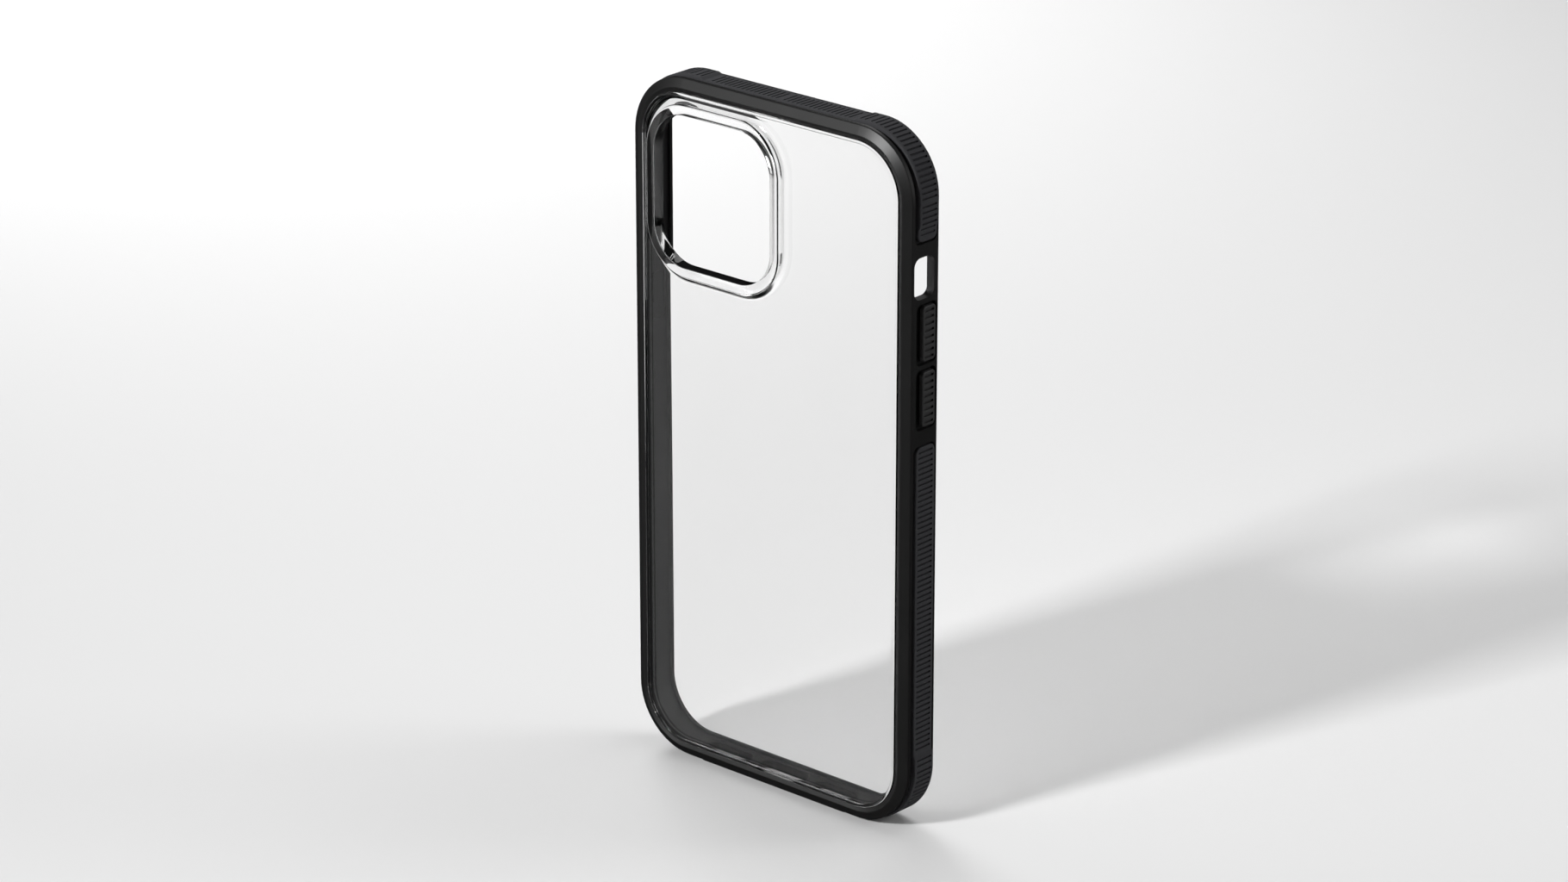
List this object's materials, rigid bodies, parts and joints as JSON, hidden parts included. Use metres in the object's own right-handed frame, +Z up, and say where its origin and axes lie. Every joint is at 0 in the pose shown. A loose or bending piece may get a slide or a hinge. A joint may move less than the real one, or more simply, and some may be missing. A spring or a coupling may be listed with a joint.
{
  "type": "phone case",
  "caption": "Phone case with a clear hard back, raised camera guard, soft black bumper with ribbed grips and pressing side buttons.",
  "frame": {"origin": "middle of the case's base, on the surface it stands on, at the bottom centre of its bounding box", "axes": "+Z up the case's height, -Y out of its clear back, +X towards the side with the volume buttons and mute cut-out"},
  "size_m": [0.0834, 0.012, 0.1662],
  "materials": {
    "clear_panel": "clear polished polycarbonate",
    "bumper": "satin black soft plastic",
    "grip": "matte black ribbed soft plastic",
    "button_cap": "satin black ribbed",
    "plunger": "matte black hard plastic"
  },
  "bodies": {
    "case": {"back_panel": "clear_panel", "bumper_frame": "bumper", "grip_strip_top": "grip", "grip_strip_right": "grip", "grip_strip_left": "grip", "corner_pad_top_left": "grip", "corner_pad_top_right": "grip", "corner_pad_bottom_left": "grip", "corner_pad_bottom_right": "grip"},
    "volume_up": {"volume_up_button": "button_cap", "volume_up_plunger": "plunger"},
    "volume_down": {"volume_down_button": "button_cap", "volume_down_plunger": "plunger"},
    "power": {"power_button": "button_cap", "power_plunger": "plunger"}
  },
  "joints": [
    {"name": "volume_up_press", "type": "slide", "parent": "case", "child": "volume_up", "axis": [-1, 0, 0], "range_m": [0, 0.0004], "stiffness_N_per_m": 2000},
    {"name": "volume_down_press", "type": "slide", "parent": "case", "child": "volume_down", "axis": [-1, 0, 0], "range_m": [0, 0.0004], "stiffness_N_per_m": 2000},
    {"name": "power_press", "type": "slide", "parent": "case", "child": "power", "axis": [1, 0, 0], "range_m": [0, 0.0004], "stiffness_N_per_m": 2000}
  ]
}
